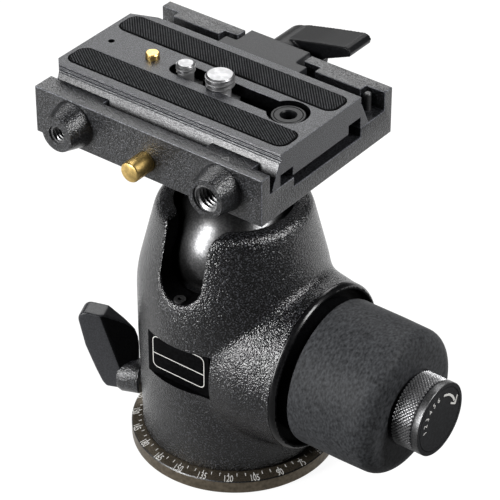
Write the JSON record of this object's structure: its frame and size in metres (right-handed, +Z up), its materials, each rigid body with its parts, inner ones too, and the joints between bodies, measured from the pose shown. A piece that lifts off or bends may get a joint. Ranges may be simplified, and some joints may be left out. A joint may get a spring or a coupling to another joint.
{
  "type": "ball head",
  "caption": "Ball head with a drop notch, side lock and friction knobs, pan base with lever and a sliding quick-release plate in a lever clamp with camera screws and side threads.",
  "frame": {"origin": "centre of the tripod thread's mouth in the base's underside", "axes": "+Z up along the pan axis, +X outwards along the lock knob, -Y towards the drop notch and the adapter's front face"},
  "size_m": [0.1379, 0.0935, 0.1396],
  "materials": {
    "coat": "matte",
    "black_plastic": "satin",
    "rubber": "matte",
    "ring_bronze": "satin",
    "steel": "satin",
    "chrome": "polished",
    "brass": "satin",
    "knurl": "satin",
    "cap_black": "gloss",
    "white_plastic": "satin",
    "bare_metal": "satin",
    "dark_metal": "satin"
  },
  "bodies": {
    "base": {"base_ring": "ring_bronze", "pan_spindle": "steel", "base_screws": "steel", "pan_washer": "white_plastic", "thrust_washer": "white_plastic", "retaining_nut": "steel"},
    "housing": {"housing": "coat", "collar_ring": "bare_metal", "chamber_plug": "steel", "fill_screw": "steel", "gland_nut": "steel", "notch_screw": "dark_metal", "label_plate": "black_plastic"},
    "pan_lever": {"pan_lever": "black_plastic", "pan_screw": "steel"},
    "pan_shoe": {"pan_shoe": "brass"},
    "lock_knob": {"lock_screw": "steel", "knob_hub": "black_plastic", "knob_grip": "rubber", "knob_set_screws": "steel", "friction_spring": "steel"},
    "drive_piston": {"drive_piston": "steel", "drive_seal": "rubber"},
    "ball_piston": {"ball_piston": "steel", "piston_seal": "rubber"},
    "friction_knob": {"friction_knob": "knurl", "friction_shaft": "steel", "friction_cap": "cap_black"},
    "seat_liner": {"seat_liner": "black_plastic"},
    "ball": {"ball": "bare_metal"},
    "adapter": {"adapter_base": "coat", "adapter_bolt": "steel", "stop_post": "dark_metal", "button_spring": "steel", "jaw_springs": "steel"},
    "jaw": {"clamp_jaw": "coat"},
    "clamp_lever": {"clamp_lever": "black_plastic", "clamp_screw": "steel"},
    "safety_button": {"safety_button": "brass", "catch_pin": "steel"},
    "plate": {"slide_plate": "coat", "front_grip": "rubber", "rear_grip": "rubber", "keyhole_bush": "dark_metal", "plate_stops": "steel", "pin_spring": "steel", "pin_plug": "steel"},
    "quarter_washer": {"quarter_washer": "chrome"},
    "quarter_screw": {"quarter_screw": "chrome"},
    "three_eighths_washer": {"three_eighths_washer": "chrome"},
    "three_eighths_screw": {"three_eighths_screw": "chrome"},
    "video_pin": {"video_pin": "brass"}
  },
  "joints": [
    {"name": "pan", "type": "hinge", "parent": "base", "child": "housing", "pos_m": [0, 0, 0.0062], "axis": [0, 0, 1], "continuous": true},
    {"name": "pan_lever_turn", "type": "hinge", "parent": "housing", "child": "pan_lever", "pos_m": [-0.03141, -0.01301, 0.0154], "axis": [-0.9239, -0.3827, 0], "range_deg": [-20, 90]},
    {"name": "pan_shoe_slide", "type": "slide", "parent": "housing", "child": "pan_shoe", "axis": [-0.9239, -0.3827, 0], "range_m": [-0.00005, 0.00016]},
    {"name": "lock_turn", "type": "hinge", "parent": "housing", "child": "lock_knob", "pos_m": [0.05, 0, 0.0432], "axis": [1, 0, 0], "range_deg": [-540, 0]},
    {"name": "drive_slide", "type": "slide", "parent": "housing", "child": "drive_piston", "axis": [1, 0, 0], "range_m": [-0.0023, 0.00005]},
    {"name": "ball_piston_rise", "type": "slide", "parent": "housing", "child": "ball_piston", "axis": [0, 0, 1], "range_m": [-0.00002, 0.00038]},
    {"name": "friction_turn", "type": "hinge", "parent": "lock_knob", "child": "friction_knob", "pos_m": [0.076, 0, 0.0432], "axis": [1, 0, 0], "range_deg": [-150, 150]},
    {"name": "side_tilt", "type": "hinge", "parent": "housing", "child": "seat_liner", "pos_m": [0, 0, 0.0781], "axis": [0, 1, 0], "range_deg": [-23, 23]},
    {"name": "notch_tilt", "type": "hinge", "parent": "seat_liner", "child": "ball", "pos_m": [0, 0, 0.0781], "axis": [1, 0, 0], "range_deg": [-23, 90]},
    {"name": "ball_spin", "type": "hinge", "parent": "ball", "child": "adapter", "pos_m": [0, 0, 0.1142], "axis": [0, 0, 1], "continuous": true},
    {"name": "jaw_slide", "type": "slide", "parent": "adapter", "child": "jaw", "axis": [0, 1, 0], "range_m": [-0.00002, 0.00202], "deforming": ["jaw_springs"]},
    {"name": "clamp_lever_turn", "type": "hinge", "parent": "jaw", "child": "clamp_lever", "pos_m": [-0.0105, 0.045, 0.1212], "axis": [0, 1, 0], "range_deg": [-110, 0]},
    {"name": "button_press", "type": "slide", "parent": "adapter", "child": "safety_button", "axis": [0, 1, 0], "range_m": [0, 0.0026], "stiffness_N_per_m": 600, "springref_m": -0.001, "deforming": ["button_spring"]},
    {"name": "plate_slide", "type": "slide", "parent": "adapter", "child": "plate", "axis": [1, 0, 0], "range_m": [-0.025, 0.025]},
    {"name": "quarter_slide", "type": "slide", "parent": "plate", "child": "quarter_washer", "axis": [1, 0, 0], "range_m": [-0.0015, 0.0015]},
    {"name": "quarter_turn", "type": "hinge", "parent": "quarter_washer", "child": "quarter_screw", "pos_m": [-0.0185, -0.001, 0.13], "axis": [0, 0, 1], "continuous": true},
    {"name": "three_eighths_slide", "type": "slide", "parent": "plate", "child": "three_eighths_washer", "axis": [1, 0, 0], "range_m": [0, 0.012]},
    {"name": "three_eighths_turn", "type": "hinge", "parent": "three_eighths_washer", "child": "three_eighths_screw", "pos_m": [-0.0047, -0.001, 0.13], "axis": [0, 0, 1], "continuous": true},
    {"name": "pin_press", "type": "slide", "parent": "plate", "child": "video_pin", "axis": [0, 0, -1], "range_m": [0, 0.002], "stiffness_N_per_m": 500, "springref_m": -0.001, "deforming": ["pin_spring"]}
  ],
  "couplings": [
    {"joint": "pan_shoe_slide", "follows": "pan_lever_turn", "m_per_rad": 0.00009549},
    {"joint": "drive_slide", "follows": "lock_turn", "m_per_rad": 0.00023873},
    {"joint": "ball_piston_rise", "follows": "lock_turn", "m_per_rad": -0.000038197},
    {"joint": "jaw_slide", "follows": "clamp_lever_turn", "m_per_rad": -0.0010417}
  ]
}
